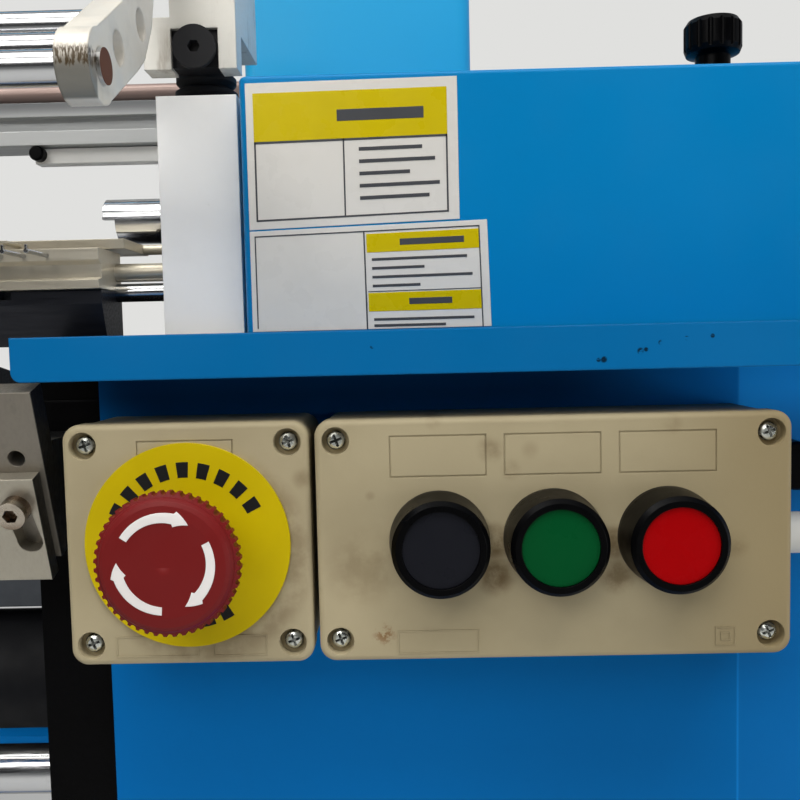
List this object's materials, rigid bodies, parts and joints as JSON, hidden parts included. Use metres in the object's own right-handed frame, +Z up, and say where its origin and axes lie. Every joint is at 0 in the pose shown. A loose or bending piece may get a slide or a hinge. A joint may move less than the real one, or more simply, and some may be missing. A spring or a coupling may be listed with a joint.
{
  "type": "industrial knitting machine",
  "caption": "Floor-standing warp knitting machine with needle bar, weft bars, take-down and feed rollers, and a front control station with a mushroom stop and push-buttons.",
  "frame": {"origin": "on the floor, at the centre of the four anchor holes", "axes": "+X along the machine towards the drive cabinet, -Y towards the operator, +Z up"},
  "size_m": [1.576, 0.66, 1.4],
  "materials": {
    "blue_paint": "semi-gloss enamel, light shop wear",
    "black_cast": "black painted casting",
    "grey_cast": "grey painted casting",
    "machined": "fine machined aluminium",
    "chrome": "ground and polished",
    "steel": "ground steel, oiled",
    "rubber": "matt black rubber",
    "beige": "moulded beige plastic",
    "black_plastic": "satin black plastic",
    "yellow": "yellow plastic disc",
    "red_plastic": "satin red plastic",
    "dark_lens": "satin black cap",
    "green_lens": "satin green cap",
    "red_lens": "satin red cap",
    "white": "white paint",
    "light_plastic": "light grey plastic"
  },
  "bodies": {
    "root": {"bases": "blue_paint", "end_frames": "black_cast", "deck_plates": "black_cast", "front_covers": "blue_paint", "body_covers": "blue_paint", "tie_beam": "blue_paint", "bed_beam": "grey_cast", "shelf_tray": "blue_paint", "guide_blocks": "machined", "head_housings": "blue_paint", "filler_neck": "black_plastic", "rod_boots": "rubber", "knockover_bar": "steel", "bar_shafts": "chrome", "rear_guide_beam": "machined", "yarn_guard_bar": "white", "front_tie_plate": "blue_paint", "comb_brackets": "steel", "clamp_blocks": "steel", "clamp_screws": "steel", "shaft_bearings": "grey_cast", "drive_belt": "rubber", "motor": "grey_cast", "estop_box_base": "beige", "estop_box_lid": "beige", "station_box_base": "beige", "station_box_lid": "beige", "lid_screws": "chrome", "legend_disc": "yellow", "estop_collar": "red_plastic", "button_bezels": "black_plastic", "contact_blocks": "black_plastic", "cable_gland": "light_plastic", "columns": "blue_paint", "top_beam": "blue_paint"},
    "lift_frame": {"lift_rods": "chrome", "lift_brackets": "machined", "lift_rollers": "black_plastic", "bar_arms": "machined", "guide_rods": "chrome"},
    "weft_bar_front": {"weft_bar_front": "machined"},
    "weft_bar_middle": {"weft_bar_middle": "machined"},
    "weft_bar_rear": {"weft_bar_rear": "machined"},
    "needle_bar": {"needle_bar": "steel", "needles": "chrome"},
    "warp_bar": {"warp_bar": "steel"},
    "takedown_roller": {"takedown_roller": "rubber"},
    "pressure_roller": {"pressure_roller": "chrome"},
    "drive_shaft": {"main_shaft": "steel", "driven_pulley": "grey_cast", "handwheel": "black_plastic"},
    "motor_rotor": {"motor_pulley": "grey_cast"},
    "estop_plunger": {"estop_plunger": "steel"},
    "estop_head": {"estop_head": "red_plastic"},
    "black_button": {"black_button": "dark_lens"},
    "green_button": {"green_button": "green_lens"},
    "red_button": {"red_button": "red_lens"},
    "filler_cap": {"filler_cap": "black_plastic"},
    "feed_roller_lower": {"feed_roller_lower": "rubber"},
    "feed_roller_upper": {"feed_roller_upper": "rubber"}
  },
  "joints": [
    {"name": "frame_lift", "type": "slide", "parent": "root", "child": "lift_frame", "axis": [0, 0, 1], "range_m": [0, 0.012]},
    {"name": "weft_front_shog", "type": "slide", "parent": "lift_frame", "child": "weft_bar_front", "axis": [1, 0, 0], "range_m": [-0.02, 0.02]},
    {"name": "weft_middle_shog", "type": "slide", "parent": "lift_frame", "child": "weft_bar_middle", "axis": [1, 0, 0], "range_m": [-0.02, 0.02]},
    {"name": "weft_rear_shog", "type": "slide", "parent": "lift_frame", "child": "weft_bar_rear", "axis": [1, 0, 0], "range_m": [-0.02, 0.02]},
    {"name": "needle_stroke", "type": "slide", "parent": "root", "child": "needle_bar", "axis": [0, 1, 0], "range_m": [-0.006, 0.006]},
    {"name": "warp_swing", "type": "hinge", "parent": "root", "child": "warp_bar", "pos_m": [-0.0425, -0.208, 0.9968], "axis": [-1, 0, 0], "range_deg": [0, 18]},
    {"name": "takedown_turn", "type": "hinge", "parent": "root", "child": "takedown_roller", "pos_m": [-0.0425, -0.17, 0.81358], "axis": [1, 0, 0], "continuous": true},
    {"name": "pressure_turn", "type": "hinge", "parent": "root", "child": "pressure_roller", "pos_m": [-0.0425, -0.19, 0.7794], "axis": [1, 0, 0], "continuous": true},
    {"name": "shaft_turn", "type": "hinge", "parent": "root", "child": "drive_shaft", "pos_m": [0, -0.06, 0.64], "axis": [1, 0, 0], "continuous": true},
    {"name": "motor_turn", "type": "hinge", "parent": "root", "child": "motor_rotor", "pos_m": [0.6975, 0.02, 0.168], "axis": [1, 0, 0], "continuous": true},
    {"name": "stop_push", "type": "slide", "parent": "root", "child": "estop_plunger", "axis": [0, 1, 0], "range_m": [0, 0.0045], "stiffness_N_per_m": 1200},
    {"name": "stop_twist", "type": "hinge", "parent": "estop_plunger", "child": "estop_head", "pos_m": [0.4179, -0.32, 0.9], "axis": [0, 1, 0], "range_deg": [0, 35], "stiffness_Nm_per_rad": 0.15},
    {"name": "black_push", "type": "slide", "parent": "root", "child": "black_button", "axis": [0, 1, 0], "range_m": [0, 0.0035], "stiffness_N_per_m": 600},
    {"name": "green_push", "type": "slide", "parent": "root", "child": "green_button", "axis": [0, 1, 0], "range_m": [0, 0.0035], "stiffness_N_per_m": 600},
    {"name": "red_push", "type": "slide", "parent": "root", "child": "red_button", "axis": [0, 1, 0], "range_m": [0, 0.0035], "stiffness_N_per_m": 600},
    {"name": "filler_turn", "type": "hinge", "parent": "root", "child": "filler_cap", "pos_m": [0.6047, -0.205, 1.06], "axis": [0, 0, 1], "range_deg": [0, 90]},
    {"name": "feed_lower_turn", "type": "hinge", "parent": "root", "child": "feed_roller_lower", "pos_m": [0, -0.065, 1.23], "axis": [1, 0, 0], "continuous": true},
    {"name": "feed_upper_turn", "type": "hinge", "parent": "root", "child": "feed_roller_upper", "pos_m": [0, -0.065, 1.2806], "axis": [1, 0, 0], "continuous": true}
  ],
  "couplings": [
    {"joint": "pressure_turn", "follows": "takedown_turn", "ratio": -2.5556},
    {"joint": "motor_turn", "follows": "shaft_turn", "ratio": 2},
    {"joint": "feed_upper_turn", "follows": "feed_lower_turn", "ratio": -1}
  ]
}
